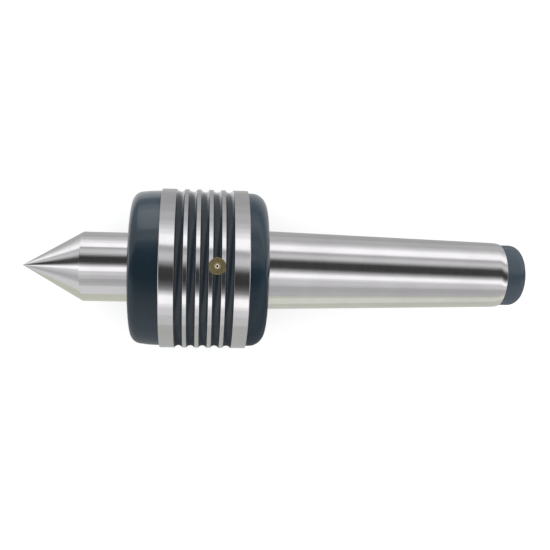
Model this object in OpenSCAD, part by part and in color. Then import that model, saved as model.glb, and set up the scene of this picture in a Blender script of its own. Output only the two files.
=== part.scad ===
// Spring-loaded (telescopic) live center on a Morse taper shank.
// The axis is X: the point looks toward -X and the shank runs toward +X.
// The origin is on the axis at the gauge plane of the taper. The oil port points to +Z.

/* [Point] */
// Diameter of the cylinder behind the point
point_d = 27.3; // [26.6:0.1:27.6]
// Included angle of the point
point_angle = 60; // [60:15:90]
// Length from the tip to the front face of the head
point_reach = 42.35; // [40:0.05:60]

/* [Head] */
// Diameter over the ground lands
head_d = 62.9; // [62.5:0.1:66]
// Length of the front cover that shows
cover_l = 11.4; // [11:0.1:14]
// Width of the two wide lands
land_w = 5.66; // [5.5:0.02:8]
// Number of turned grooves between the lands
groove_n = 5; // [5:1:6]
// Width of one groove at the surface
groove_w = 3.24; // [3:0.02:3.6]
// Depth of one groove
groove_depth = 0.95; // [0.6:0.05:1.2]
// Width of the thin ring between two grooves
thin_ring_w = 1.46; // [1.4:0.02:2]
// Length of the painted ring at the back of the head
back_ring_l = 8.14; // [8:0.02:10]
// Gap from the back of the head to the gauge plane
head_gap = 1.8; // [1.5:0.1:6]

/* [Shank] */
// Diameter at the gauge plane (size 4 taper)
gauge_d = 31.267; // [31.26:0.001:31.28]
// Length over which the diameter falls by 1 mm
taper_ratio = 19.254; // [19.2:0.001:19.3]
// Length from the gauge plane to the small end of the steel shank
shank_l = 94.26; // [92:0.02:100]
// Diameter of the tail plug
plug_d = 24.8; // [24:0.1:25.2]
// Length of the tail plug that shows
plug_l = 8.84; // [7:0.02:12]

/* [Spring travel] */
// How far the point yields into the head
travel = 4; // [1:0.5:4]
// Number of disc springs in the stack
disc_n = 24; // [16:2:24]

/* [Oiler] */
// Diameter of the ball oiler
oiler_d = 6.3; // [5:0.1:6.4]
// Diameter of the opening over its ball
oiler_mouth_d = 1.84; // [1.6:0.02:2]

/* [Hidden] */
$fn = 96;

// Colours
ground_steel = [0.78, 0.78, 0.75];
bearing_steel = [0.66, 0.68, 0.70];
dark_paint = [0.12, 0.16, 0.19];
slate_paint = [0.30, 0.34, 0.38];
oiler_brass = [0.55, 0.48, 0.30];
cage_brass = [0.78, 0.62, 0.30];
black_rubber = [0.08, 0.08, 0.08];
spring_steel = [0.45, 0.46, 0.48];
wool_felt = [0.62, 0.60, 0.55];

// Places along the axis, from the back of the head forward
groove_pitch = groove_w + thin_ring_w;
back_face_x = -head_gap;
back_land_x1 = back_face_x - back_ring_l;
grooves_x1 = back_land_x1 - land_w;
grooves_x0 = grooves_x1 - groove_n * groove_w - (groove_n - 1) * thin_ring_w;
head_x0 = grooves_x0 - land_w;
cover_x0 = head_x0 - cover_l;
tip_x = cover_x0 - point_reach;
tail_x = shank_l + plug_l;

// How far a cut runs past the face that it opens
over = 1;

// Radii of the head: the cover and the painted ring lie a little below the lands
land_r = head_d / 2;
cover_r = land_r - 0.85;
back_ring_r = land_r - 0.95;
land_chamfer = 0.25;
cover_crown_r = 50;
cover_corner_r = 4.2;
back_corner_r = 6;
back_dish = 0.55;
groove_cut_r = (pow(groove_w / 2, 2) + pow(groove_depth, 2)) / (2 * groove_depth);
tail_crown_r = 16.4;
tail_crown_l = 3.76;
plug_corner_r = 4.4;

// Point: the bevel where the cone meets the cylinder, and the flat on the tip
point_r = point_d / 2;
half_angle = point_angle / 2;
cone_edge = 0.35;
tip_flat = 0.12;
apex_x = tip_x - tip_flat / tan(half_angle);

// Front cover: threaded spigot, seal pocket and felt groove
spigot_r = 28;
spigot_l = 5;
spigot_end_gap = 0.3;
shaft_gap = 0.05;
cover_bore_r = point_r + 0.4;
pocket_r = 19;
pocket_x0 = cover_x0 + 4.3;
garter_r = 0.5;
garter_pitch_r = 15.95;
garter_x = pocket_x0 + 3.9;
felt_r = 17.5;
felt_x0 = cover_x0 + 1.2;
felt_w = 2;
pin_hole_d = 4;
pin_hole_pcd = 46;
pin_hole_depth = 4;
pin_hole_n = 4;
cover_ring_r = 0.85;
cover_ring_x = head_x0 + 1.2;
cover_ring_groove_w = 2;

// Lip seal: case, web and the lip, from the pocket's floor
seal_w = 6.5;
seal_case_r = pocket_r - 1.4;
seal_web_t = 1.7;
seal_web_r0 = 14.7;
seal_web_r1 = 16;
seal_lip_r = point_r + shaft_gap;
seal_lip_x = 4;
seal_lip_l = 5.5;
seal_lip_r0 = 14.4;
seal_lip_r1 = 15.7;
seal_lip_slant = 0.5;

// Quill and its bore: a 0.03 mm running fit
main_bore_r = 26;
quill_r = main_bore_r - 0.03;
shank_bore_r = 10;
quill_tail_r = shank_bore_r - 0.03;
quill_x0 = head_x0 + spigot_l + 0.1;
clip_x0 = quill_x0 + 1.5;
clip_t = 1.75;
clip_inner_r = 21;
clip_groove_r = 24.6;
clip_opening = 34;
quill_ring_r = 0.6;
quill_ring_x = quill_x0 + 5.7;
quill_ring_groove_w = 1.5;

// Front ball bearing, 25 x 47 x 8
bearing_x0 = clip_x0 + clip_t;
bearing_w = 8;
bearing_bore_r = 12.5;
bearing_r = 23.5;
bearing_x1 = bearing_x0 + bearing_w;
ball_r = 2.75;
race_r = ball_r + 0.05;
pocket_ball_r = ball_r + 0.1;
front_ball_n = 12;
front_pitch_r = 18;
front_ball_x = bearing_x0 + bearing_w / 2;
front_shoulder_r0 = 15.4;
front_shoulder_r1 = 20.6;
front_cage_t = 1.6;
front_cage_w = 6.8;

// Spacer and thrust ball bearing, 20 x 35 x 10
spacer_r = 15;
spacer_l = 3.55;
thrust_x0 = bearing_x1 + spacer_l;
thrust_h = 10;
thrust_x1 = thrust_x0 + thrust_h;
thrust_r = 17.5;
thrust_bore_r = 10;
thrust_washer_t = 2.8;
thrust_gap = 0.3;
thrust_ball_n = 12;
thrust_pitch_r = 13.75;
thrust_ball_x = thrust_x0 + thrust_h / 2;
thrust_cage_r0 = 10.6;
thrust_cage_r1 = 16.9;
thrust_cage_t = 2.4;

// Back of the quill and floor of the bore, with a little room left at full travel
quill_floor_t = 2.9;
quill_back_x = thrust_x1 + quill_floor_t;
travel_room = 0.5;
bore_floor_x = quill_back_x + travel + travel_room;
quill_tail_x = 36;

// Needle bearing, 10 x 14 x 10
needle_cup_r = 7;
needle_track_r = 6.52;
needle_r = 0.74;
needle_pitch_r = 5.76;
needle_n = 10;
needle_x0 = 22.5;
needle_cup_l = 10;
needle_x1 = needle_x0 + needle_cup_l;
needle_lip_t = 0.6;
needle_lip_r = 5.5;
needle_inset = 1.2;
needle_cage_r0 = 5.25;
needle_cage_r1 = 6.3;
needle_cage_inset = 0.75;
needle_pocket_gap = 0.05;

// Spindle behind the point
collar_r = 16;
collar_x0 = head_x0 + 0.3;
spindle_mid_r = 6;
spindle_mid_x = thrust_x1 - 0.6;
spindle_end_r = 5;
spindle_end_x0 = needle_x0 - 0.5;
spindle_end_x1 = quill_tail_x - 0.4;
tail_shoulder_x = needle_x1 + 0.5;
tail_washer_x = tail_shoulder_x + 0.1;
tail_washer_r = 7.7;
tail_washer_t = 1;
tail_clip_x = tail_washer_x + tail_washer_t;
tail_clip_r = 6.6;
tail_clip_t = 1;
tail_clip_groove_r = 4.5;
tail_clip_opening = 70;
tail_counterbore_r = 8;

// Guide pin that keeps the quill from turning
guide_pin_r = 2;
guide_pin_orbit = 21.5;
guide_pin_x0 = quill_back_x - 3.5;
guide_pin_x1 = bore_floor_x + 3;
guide_slot_r = guide_pin_r + 0.1;
guide_slot_x0 = guide_pin_x0 - travel - 0.6;

// Spring stack: disc springs 18 x 9.2 x 1, preloaded
disc_outer_r = 9;
disc_inner_r = 4.6;
disc_t = 1;
disc_pitch = 1.35;
disc_gap = 0.02;
disc_rise = disc_pitch - disc_t - disc_gap;
plunger_r = shank_bore_r - 0.1;
plunger_t = 2.5;
plunger_pin_r = 4.4;
stack_x0 = quill_tail_x + plunger_t;
stack_x1 = stack_x0 + disc_n * disc_pitch;

// Tail plug
plug_thread_r = 10.5;
plug_thread_l = 16.26;
plug_thread_x = shank_l - plug_thread_l;
plug_nose_r = 9.9;
plug_guide_r = plunger_pin_r + 0.2;
plug_guide_l = 12;
plunger_pin_x1 = stack_x1 + plug_guide_l - travel - 1;
plug_hole_n = 2;
plug_hole_d = 3;
plug_hole_pcd = 11.5;
plug_hole_depth = 4;
center_hole_r = 1.6;
center_hole_l = 7;
center_cone_r = 2.8;
center_cone_l = center_cone_r / tan(30);

// Oil port, over the last groove but one
port_x = grooves_x0 + (groove_n - 2) * groove_pitch + groove_w / 2;
oiler_r = oiler_d / 2;
oiler_rim = 0.35;
oiler_top = land_r - 0.06;
oiler_bottom = main_bore_r + 0.3;
oiler_ball_r = 1.4;
oiler_bore_r = oiler_ball_r + 0.1;
oiler_lip_t = 0.6;
oiler_seat_z = oiler_top - oiler_lip_t;
oiler_ball_gap = 0.02;
oiler_ball_z = oiler_seat_z - sqrt(pow(oiler_ball_r, 2) - pow(oiler_mouth_d / 2, 2)) - oiler_ball_gap;
oiler_foot_t = 0.6;
oiler_foot_r = 0.8;
oiler_wire_r = 0.17;
oiler_spring_r = oiler_bore_r - oiler_wire_r - 0.08;
oiler_spring_turns = 3;
oiler_spring_z0 = oiler_bottom + oiler_foot_t;
oiler_spring_z1 = oiler_ball_z - oiler_ball_r + 0.35;

// Oil groove around the quill, long enough for its travel, and the hole to the bearings
oil_groove_depth = 1;
oil_hole_r = 1.25;
oil_hole_x = bearing_x1 + spacer_l / 2;
oil_groove_end = 1.2;
oil_groove_x0 = min(port_x - travel, oil_hole_x) - oil_groove_end;
oil_groove_x1 = max(port_x, oil_hole_x) + oil_groove_end;

// Radius of the taper at a place along the axis
function taper_r(x) = (gauge_d - x / taper_ratio) / 2;

// Points along an arc in the profile plane, where a point is [radius, x]
function arc(center, r, a0, a1, steps) =
    [for (i = [0:steps]) center + r * [cos(a0 + (a1 - a0) * i / steps), sin(a0 + (a1 - a0) * i / steps)]];

// Turns a profile of [radius, x] about the axis
module turned(angle = 360) {
    rotate([0, 90, 0])
        rotate_extrude(angle = angle)
            children();
}

// A rectangle of a profile, from one radius to another and from one place on the axis to another
module section(r0, r1, x0, x1) {
    translate([r0, x0])
        square([r1 - r0, x1 - x0]);
}

// A plain ring about the axis
module ring(r0, r1, x0, x1) {
    turned()
        section(r0, r1, x0, x1);
}

// A ring with a gap at the front, where pliers reach in
module open_ring(r0, r1, x0, x1, opening) {
    rotate([opening / 2 + 90, 0, 0])
        turned(360 - opening)
            section(r0, r1, x0, x1);
}

// The groove of an O-ring in the outside of a part, in the profile
module ring_groove(outer_r, wire_r, x, width) {
    section(outer_r - 2 * wire_r, outer_r + over, x - width / 2, x + width / 2);
}

// A ring of round section
module round_ring(pitch_r, wire_r, x) {
    turned()
        translate([pitch_r, x])
            circle(r = wire_r);
}

// Repeats its children around the axis
module around(count) {
    for (i = [0:count - 1])
        rotate([i * 360 / count, 0, 0])
            children();
}

// A straight bar along X
module bar(r, x0, x1) {
    translate([x0, 0, 0])
        rotate([0, 90, 0])
            cylinder(r = r, h = x1 - x0);
}

// A row of bearing balls
module ball_row(count, pitch_r, x, r) {
    around(count)
        translate([x, 0, pitch_r])
            sphere(r = r);
}

// Outline of the ground and painted outside of the housing
module housing_outline() {
    back_center = [back_ring_r - back_corner_r, back_face_x - back_dish - back_corner_r];
    tail_angle = asin(tail_crown_l / tail_crown_r);
    tail_center = [taper_r(shank_l - tail_crown_l) - tail_crown_r, shank_l - tail_crown_l];
    polygon(concat(
        [[0, head_x0], [land_r - land_chamfer, head_x0], [land_r, head_x0 + land_chamfer]],
        [[land_r, back_land_x1 - land_chamfer], [land_r - land_chamfer, back_land_x1]],
        [[back_ring_r, back_land_x1]],
        arc(back_center, back_corner_r, 0, 90, 12),
        [[taper_r(back_face_x), back_face_x]],
        arc(tail_center, tail_crown_r, 0, tail_angle, 4),
        [[0, shank_l]]
    ));
}

// Space inside the housing, from the cover thread to the tail plug
module housing_bore() {
    section(0, spigot_r, head_x0 - over, head_x0 + spigot_l + spigot_end_gap);
    section(0, main_bore_r, head_x0, bore_floor_x);
    section(0, shank_bore_r, bore_floor_x - over, plug_thread_x + over);
    section(0, plug_thread_r, plug_thread_x, shank_l + over);
}

// The turned grooves between the lands
module housing_grooves() {
    for (i = [0:groove_n - 1])
        translate([land_r - groove_depth + groove_cut_r, grooves_x0 + groove_w / 2 + i * groove_pitch])
            circle(r = groove_cut_r);
}

module housing() {
    color(ground_steel)
        difference() {
            turned()
                difference() {
                    housing_outline();
                    housing_bore();
                    housing_grooves();
                }
            translate([port_x, 0, main_bore_r - over])
                cylinder(r = oiler_r, h = land_r);
            translate([0, 0, -guide_pin_orbit])
                bar(guide_pin_r, bore_floor_x - over, guide_pin_x1);
        }
}

// Crowned outside of the cover, with its rounded front corner and threaded spigot
module cover_outline() {
    crown_center = [cover_r - cover_crown_r, head_x0];
    corner_x = cover_x0 + cover_corner_r;
    crown_angle = -asin((head_x0 - corner_x) / (cover_crown_r - cover_corner_r));
    corner_center = crown_center
        + (cover_crown_r - cover_corner_r) * [cos(crown_angle), sin(crown_angle)];
    spigot_x1 = head_x0 + spigot_l;
    polygon(concat(
        [[0, spigot_x1], [spigot_r, spigot_x1], [spigot_r, head_x0]],
        arc(crown_center, cover_crown_r, 0, crown_angle, 8),
        arc(corner_center, cover_corner_r, crown_angle, -90, 8),
        [[0, cover_x0]]
    ));
}

module front_cover() {
    color(dark_paint)
        difference() {
            turned()
                difference() {
                    cover_outline();
                    section(0, cover_bore_r, cover_x0 - over, pocket_x0 + over);
                    section(0, felt_r, felt_x0, felt_x0 + felt_w);
                    section(0, pocket_r, pocket_x0, head_x0 + spigot_l + over);
                    ring_groove(spigot_r, cover_ring_r, cover_ring_x, cover_ring_groove_w);
                }
            around(pin_hole_n)
                translate([0, 0, pin_hole_pcd / 2])
                    bar(pin_hole_d / 2, cover_x0 - over, cover_x0 + pin_hole_depth);
        }
}

module cover_o_ring() {
    color(black_rubber)
        round_ring(spigot_r - cover_ring_r, cover_ring_r, cover_ring_x);
}

module felt_wiper() {
    color(wool_felt)
        ring(point_r + shaft_gap, felt_r, felt_x0, felt_x0 + felt_w);
}

// The lip seal: case, web and a lip that the garter spring presses on the shaft
module shaft_seal() {
    color(black_rubber)
        turned()
            difference() {
                translate([0, pocket_x0])
                    polygon([
                        [pocket_r, 0], [pocket_r, seal_w], [seal_case_r, seal_w],
                        [seal_case_r, seal_web_t], [seal_web_r1, seal_web_t],
                        [seal_lip_r1, seal_lip_l - seal_lip_slant], [seal_lip_r0, seal_lip_l],
                        [seal_lip_r, seal_lip_x], [seal_web_r0, seal_web_t], [seal_web_r0, 0]
                    ]);
                translate([garter_pitch_r, garter_x])
                    circle(r = garter_r);
            }
}

module seal_garter_spring() {
    color(spring_steel)
        round_ring(garter_pitch_r, garter_r, garter_x);
}

// The point and its spindle in one piece
module center_point() {
    color(ground_steel)
        turned()
            difference() {
                polygon([
                    [0, tip_x], [tip_flat, tip_x],
                    [point_r - cone_edge / 2, apex_x + (point_r - cone_edge / 2) / tan(half_angle)],
                    [point_r, apex_x + point_r / tan(half_angle) + cone_edge],
                    [point_r, collar_x0], [collar_r, collar_x0],
                    [collar_r, bearing_x0], [bearing_bore_r, bearing_x0],
                    [bearing_bore_r, thrust_x0], [thrust_bore_r, thrust_x0],
                    [thrust_bore_r, spindle_mid_x], [spindle_mid_r, spindle_mid_x],
                    [spindle_mid_r, spindle_end_x0], [spindle_end_r, spindle_end_x0],
                    [spindle_end_r, spindle_end_x1], [0, spindle_end_x1]
                ]);
                section(tail_clip_groove_r, spindle_end_r + over, tail_clip_x, tail_clip_x + tail_clip_t);
            }
}

module front_bearing_outer_ring() {
    color(bearing_steel)
        turned()
            difference() {
                section(front_shoulder_r1, bearing_r, bearing_x0, bearing_x1);
                translate([front_pitch_r, front_ball_x])
                    circle(r = race_r);
            }
}

module front_bearing_inner_ring() {
    color(bearing_steel)
        turned()
            difference() {
                section(bearing_bore_r, front_shoulder_r0, bearing_x0, bearing_x1);
                translate([front_pitch_r, front_ball_x])
                    circle(r = race_r);
            }
}

module front_bearing_balls() {
    color(bearing_steel)
        ball_row(front_ball_n, front_pitch_r, front_ball_x, ball_r);
}

module front_bearing_cage() {
    color(cage_brass)
        difference() {
            ring(front_pitch_r - front_cage_t / 2, front_pitch_r + front_cage_t / 2,
                front_ball_x - front_cage_w / 2, front_ball_x + front_cage_w / 2);
            ball_row(front_ball_n, front_pitch_r, front_ball_x, pocket_ball_r);
        }
}

module bearing_circlip() {
    color(spring_steel)
        open_ring(clip_inner_r, clip_groove_r, clip_x0, clip_x0 + clip_t, clip_opening);
}

module spacer_ring() {
    color(bearing_steel)
        ring(bearing_bore_r, spacer_r, bearing_x1, thrust_x0);
}

module thrust_shaft_washer() {
    color(bearing_steel)
        turned()
            difference() {
                section(thrust_bore_r, thrust_r - thrust_gap, thrust_x0, thrust_x0 + thrust_washer_t);
                translate([thrust_pitch_r, thrust_ball_x])
                    circle(r = race_r);
            }
}

module thrust_balls() {
    color(bearing_steel)
        ball_row(thrust_ball_n, thrust_pitch_r, thrust_ball_x, ball_r);
}

module thrust_cage() {
    color(cage_brass)
        difference() {
            ring(thrust_cage_r0, thrust_cage_r1,
                thrust_ball_x - thrust_cage_t / 2, thrust_ball_x + thrust_cage_t / 2);
            ball_row(thrust_ball_n, thrust_pitch_r, thrust_ball_x, pocket_ball_r);
        }
}

module thrust_housing_washer() {
    color(bearing_steel)
        turned()
            difference() {
                section(thrust_bore_r + thrust_gap, thrust_r, thrust_x1 - thrust_washer_t, thrust_x1);
                translate([thrust_pitch_r, thrust_ball_x])
                    circle(r = race_r);
            }
}

// Sliding sleeve that carries all the bearings
module quill() {
    color(ground_steel)
        difference() {
            turned()
                difference() {
                    union() {
                        section(0, quill_r, quill_x0, quill_back_x);
                        section(0, quill_tail_r, quill_x0, quill_tail_x);
                    }
                    section(0, bearing_r, quill_x0 - over, bearing_x1);
                    section(0, clip_groove_r, clip_x0, clip_x0 + clip_t);
                    section(0, thrust_r, bearing_x0, thrust_x1);
                    section(0, needle_cup_r, bearing_x0, quill_tail_x + over);
                    section(0, tail_counterbore_r, tail_shoulder_x, quill_tail_x + over);
                    ring_groove(quill_r, quill_ring_r, quill_ring_x, quill_ring_groove_w);
                    section(quill_r - oil_groove_depth, quill_r + over, oil_groove_x0, oil_groove_x1);
                }
            translate([oil_hole_x, 0, thrust_r - over])
                cylinder(r = oil_hole_r, h = quill_r);
            translate([0, 0, -guide_pin_orbit])
                bar(guide_slot_r, guide_slot_x0, quill_back_x + over);
        }
}

module quill_o_ring() {
    color(black_rubber)
        round_ring(quill_r - quill_ring_r, quill_ring_r, quill_ring_x);
}

module needle_cup() {
    color(bearing_steel)
        turned() {
            section(needle_track_r, needle_cup_r, needle_x0, needle_x1);
            section(needle_lip_r, needle_cup_r, needle_x0, needle_x0 + needle_lip_t);
            section(needle_lip_r, needle_cup_r, needle_x1 - needle_lip_t, needle_x1);
        }
}

// The needles, or the pockets for them
module needle_row(r, inset) {
    around(needle_n)
        translate([0, 0, needle_pitch_r])
            bar(r, needle_x0 + inset, needle_x1 - inset);
}

module needles() {
    color(bearing_steel)
        needle_row(needle_r, needle_inset);
}

module needle_cage() {
    color(spring_steel)
        difference() {
            ring(needle_cage_r0, needle_cage_r1,
                needle_x0 + needle_cage_inset, needle_x1 - needle_cage_inset);
            needle_row(needle_r + needle_pocket_gap, needle_inset - needle_pocket_gap);
        }
}

module tail_washer() {
    color(bearing_steel)
        ring(spindle_end_r, tail_washer_r, tail_washer_x, tail_washer_x + tail_washer_t);
}

module tail_circlip() {
    color(spring_steel)
        open_ring(tail_clip_groove_r, tail_clip_r, tail_clip_x, tail_clip_x + tail_clip_t,
            tail_clip_opening);
}

// Thrust pad between quill and springs, with the pin that guides the stack
module spring_plunger() {
    color(bearing_steel)
        turned() {
            section(0, plunger_r, quill_tail_x, stack_x0);
            section(0, plunger_pin_r, quill_tail_x, plunger_pin_x1);
        }
}

// Conical washers stacked in pairs, rim to rim and bore to bore
module disc_springs() {
    color(spring_steel)
        for (i = [0:disc_n - 1]) {
            bore_lift = i % 2 == 0 ? disc_rise : 0;
            rim_lift = disc_rise - bore_lift;
            translate([stack_x0 + i * disc_pitch + disc_gap / 2, 0, 0])
                turned()
                    polygon([
                        [disc_inner_r, bore_lift], [disc_outer_r, rim_lift],
                        [disc_outer_r, rim_lift + disc_t], [disc_inner_r, bore_lift + disc_t]
                    ]);
        }
}

module tail_plug() {
    plug_r = plug_d / 2;
    corner = [plug_r - plug_corner_r, tail_x - plug_corner_r];
    color(slate_paint)
        difference() {
            turned()
                difference() {
                    union() {
                        polygon(concat(
                            [[0, shank_l], [plug_r, shank_l]],
                            arc(corner, plug_corner_r, 0, 90, 8),
                            [[0, tail_x]]
                        ));
                        section(0, plug_thread_r, plug_thread_x, shank_l + over);
                        section(0, plug_nose_r, stack_x1, plug_thread_x + over);
                    }
                    section(0, plug_guide_r, stack_x1 - over, stack_x1 + plug_guide_l);
                    section(0, center_hole_r, tail_x - center_hole_l, tail_x + over);
                    polygon([[0, tail_x], [center_cone_r, tail_x], [0, tail_x - center_cone_l]]);
                }
            around(plug_hole_n)
                translate([0, 0, plug_hole_pcd / 2])
                    bar(plug_hole_d / 2, tail_x - plug_hole_depth, tail_x + over);
        }
}

module guide_pin() {
    color(bearing_steel)
        translate([0, 0, -guide_pin_orbit])
            bar(guide_pin_r, guide_pin_x0, guide_pin_x1);
}

// Pressed-in ball oiler: brass case, ball and spring
module oiler_body() {
    color(oiler_brass)
        translate([port_x, 0, 0])
            rotate_extrude()
                difference() {
                    polygon([
                        [0, oiler_bottom], [oiler_r, oiler_bottom], [oiler_r, oiler_top - oiler_rim],
                        [oiler_r - oiler_rim, oiler_top], [0, oiler_top]
                    ]);
                    section(0, oiler_foot_r, oiler_bottom - over, oiler_spring_z0 + over);
                    section(0, oiler_bore_r, oiler_spring_z0, oiler_seat_z);
                    section(0, oiler_mouth_d / 2, oiler_seat_z - over, oiler_top + over);
                }
}

module oiler_ball() {
    color(bearing_steel)
        translate([port_x, 0, oiler_ball_z])
            sphere(r = oiler_ball_r);
}

// A coil standing on the XY plane, swept as one closed strip of rings
module coil(mean_r, wire_r, height, turns) {
    sides = 8;
    steps = 20 * turns;
    rise = height - 2 * wire_r;
    points = [
        for (i = [0:steps])
            let (a = 360 * turns * i / steps, z = wire_r + rise * i / steps)
                for (j = [0:sides - 1])
                    let (b = 360 * j / sides, r = mean_r + wire_r * cos(b))
                        [r * cos(a), r * sin(a), z + wire_r * sin(b)]
    ];
    walls = [
        for (i = [0:steps - 1])
            for (j = [0:sides - 1])
                let (k = (j + 1) % sides)
                    each [
                        [i * sides + j, (i + 1) * sides + j, (i + 1) * sides + k],
                        [i * sides + j, (i + 1) * sides + k, i * sides + k]
                    ]
    ];
    first = [for (j = [0:sides - 1]) j];
    last = [for (j = [0:sides - 1]) steps * sides + sides - 1 - j];
    polyhedron(points = points, faces = concat(walls, [first], [last]));
}

module oiler_spring() {
    color(spring_steel)
        translate([port_x, 0, oiler_spring_z0])
            coil(oiler_spring_r, oiler_wire_r, oiler_spring_z1 - oiler_spring_z0,
                oiler_spring_turns);
}

housing();
front_cover();
cover_o_ring();
felt_wiper();
shaft_seal();
seal_garter_spring();
center_point();
front_bearing_outer_ring();
front_bearing_inner_ring();
front_bearing_balls();
front_bearing_cage();
bearing_circlip();
spacer_ring();
thrust_shaft_washer();
thrust_balls();
thrust_cage();
thrust_housing_washer();
quill();
quill_o_ring();
needle_cup();
needles();
needle_cage();
tail_washer();
tail_circlip();
spring_plunger();
disc_springs();
tail_plug();
guide_pin();
oiler_body();
oiler_ball();
oiler_spring();
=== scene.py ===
"""Visual model of a spring-loaded live center, built around its CAD frame.

The outer pieces and the disc springs are turned here from their profiles, with true normals.
Bearings, seals and the other inner pieces are the CAD's own, with materials from here. The light
is soft strips along the axis, and each group of pieces has its own strips."""
import math

import bmesh
import bpy
import numpy as np
from mathutils import Matrix, Vector


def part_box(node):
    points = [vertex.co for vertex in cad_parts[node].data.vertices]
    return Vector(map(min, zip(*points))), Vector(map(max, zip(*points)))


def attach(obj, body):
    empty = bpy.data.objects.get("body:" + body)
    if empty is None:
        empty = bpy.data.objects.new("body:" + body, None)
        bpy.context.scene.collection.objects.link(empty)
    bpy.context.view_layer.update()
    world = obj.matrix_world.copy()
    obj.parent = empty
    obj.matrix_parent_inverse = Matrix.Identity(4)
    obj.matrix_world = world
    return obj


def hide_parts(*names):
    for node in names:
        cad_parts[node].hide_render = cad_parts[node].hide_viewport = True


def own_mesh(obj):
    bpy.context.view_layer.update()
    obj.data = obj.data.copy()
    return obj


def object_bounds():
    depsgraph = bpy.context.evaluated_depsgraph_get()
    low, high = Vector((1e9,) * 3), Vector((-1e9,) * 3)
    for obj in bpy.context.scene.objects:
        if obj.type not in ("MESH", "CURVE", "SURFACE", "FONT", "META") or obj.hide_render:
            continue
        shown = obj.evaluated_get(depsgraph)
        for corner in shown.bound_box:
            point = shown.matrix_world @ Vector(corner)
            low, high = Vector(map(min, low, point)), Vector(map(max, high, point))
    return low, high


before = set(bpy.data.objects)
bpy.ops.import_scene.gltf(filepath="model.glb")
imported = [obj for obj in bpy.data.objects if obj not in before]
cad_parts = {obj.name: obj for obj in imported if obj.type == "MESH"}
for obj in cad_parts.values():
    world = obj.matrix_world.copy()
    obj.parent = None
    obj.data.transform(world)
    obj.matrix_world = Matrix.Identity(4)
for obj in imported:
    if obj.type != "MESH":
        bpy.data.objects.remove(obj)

CAD_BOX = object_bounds()
MM = 0.001
TURN = 2 * math.pi


def cad_mm(node):
    """Lowest and highest corner of a CAD node, in millimetres."""
    low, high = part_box(node)
    return low / MM, high / MM


# ---------------------------------------------------------------- sizes, in millimetres

HOUSING_LOW, HOUSING_HIGH = cad_mm("housing")
COVER_LOW, COVER_HIGH = cad_mm("front_cover")
POINT_LOW, POINT_HIGH = cad_mm("center_point")
PLUG_LOW, PLUG_HIGH = cad_mm("tail_plug")
OILER_LOW, OILER_HIGH = cad_mm("oiler_body")

LAND_R = HOUSING_HIGH.y
HEAD_X0 = HOUSING_LOW.x
SHANK_X1 = HOUSING_HIGH.x
COVER_X0 = COVER_LOW.x
COVER_R = COVER_HIGH.z
TIP_X = POINT_LOW.x
TAIL_X = PLUG_HIGH.x

HEAD_X1 = -1.8
BACK_RING_W = 8.14
BACK_LAND_X1 = HEAD_X1 - BACK_RING_W

MAIN_BORE_R = 26.0
SPIGOT_R = 28.0
SPIGOT_X1 = COVER_HIGH.x
SHANK_BORE_R = 10.0
PLUG_THREAD_R = 10.5
PLUG_THREAD_X = 78.0
SEAM = 0.02                 # gap left where two screwed pieces meet

GAUGE_D = 31.267
TAPER_RATIO = 19.254

PORT = (OILER_LOW + OILER_HIGH) / 2
OILER_R = (OILER_HIGH.x - OILER_LOW.x) / 2

# Radii of broken edges, from crisp to soft.
CRISP_R = 0.1
FINE_R = 0.15
BREAK_R = 0.2
SOFT_R = 0.3
ROUND_R = 0.4

# Faces around the axis, by how large the piece is in the picture.
HEAD_SEGMENTS = 384
POINT_SEGMENTS = 320
SEGMENTS = 256
SPRING_SEGMENTS = 128
SMALL_SEGMENTS = 96


def taper_r(x):
    """Radius of the shank's taper at x."""
    return (GAUGE_D - x / TAPER_RATIO) / 2


# ---------------------------------------------------------------- turned shapes

MAIN, PAINT = 0, 1          # slots of a piece's first and second material
WELD = 0.0005               # points closer than this are joined
SAME_POINT = 1e-7
ON_AXIS_R = 1e-6
KEY_PLACES = 6
FILLET_STEP = math.radians(7)


class Turned:
    """A profile turned about X. Each stretch keeps its true normals at both ends."""

    def __init__(self):
        self.stretches = []

    def add(self, p0, p1, n0, n1, slot):
        """Adds a stretch from p0 to p1 with its normals there."""
        if (Vector(p1) - Vector(p0)).length > SAME_POINT:
            self.stretches.append((p0, p1, n0, n1, slot))

    def line(self, p0, p1, slot):
        """Adds a straight stretch. Outward is to the left of its direction."""
        d = (Vector(p1) - Vector(p0)).normalized()
        normal = (-d.y, d.x)
        self.add(p0, p1, normal, normal, slot)

    def fillet(self, start, end, d_in, d_out, radius, slot):
        """Arc from start to end, tangent to both directions."""
        turn = math.atan2(d_in.x * d_out.y - d_in.y * d_out.x, d_in.dot(d_out))
        side = 1 if turn > 0 else -1
        center = Vector(start) + side * radius * Vector((-d_in.y, d_in.x))
        steps = max(3, math.ceil(abs(turn) / FILLET_STEP))
        spoke = Vector(start) - center
        points = [Matrix.Rotation(turn * i / steps, 2) @ spoke for i in range(steps + 1)]
        for a, b in zip(points, points[1:]):
            n0, n1 = (-side * a / radius, -side * b / radius)
            self.add(tuple(center + a), tuple(center + b), tuple(n0), tuple(n1), slot)


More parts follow.
